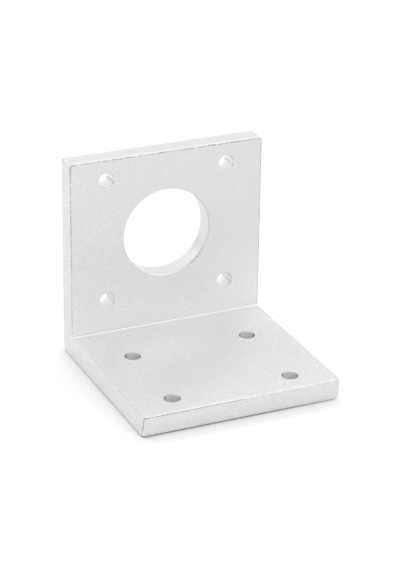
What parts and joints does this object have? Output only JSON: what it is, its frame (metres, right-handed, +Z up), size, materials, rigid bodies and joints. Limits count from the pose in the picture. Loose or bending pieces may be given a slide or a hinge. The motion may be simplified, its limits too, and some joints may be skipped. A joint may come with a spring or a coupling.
{
  "type": "motor mounting bracket",
  "caption": "Right-angle motor bracket in blasted aluminium: an upright face with a pilot bore inside a square of screw holes, on a drilled foot.",
  "frame": {"origin": "middle of the foot's underside, which is the bottom centre of the bounding box", "axes": "+Z up, +X across the width to the right seen from the foot's open side, +Y from the foot's front edge to the upright's back face"},
  "size_m": [0.05, 0.0494, 0.05],
  "materials": {
    "blasted_aluminium": "bead-blasted and clear-anodised, matt silver"
  },
  "bodies": {
    "root": {"motor_bracket": "blasted_aluminium"}
  },
  "joints": []
}
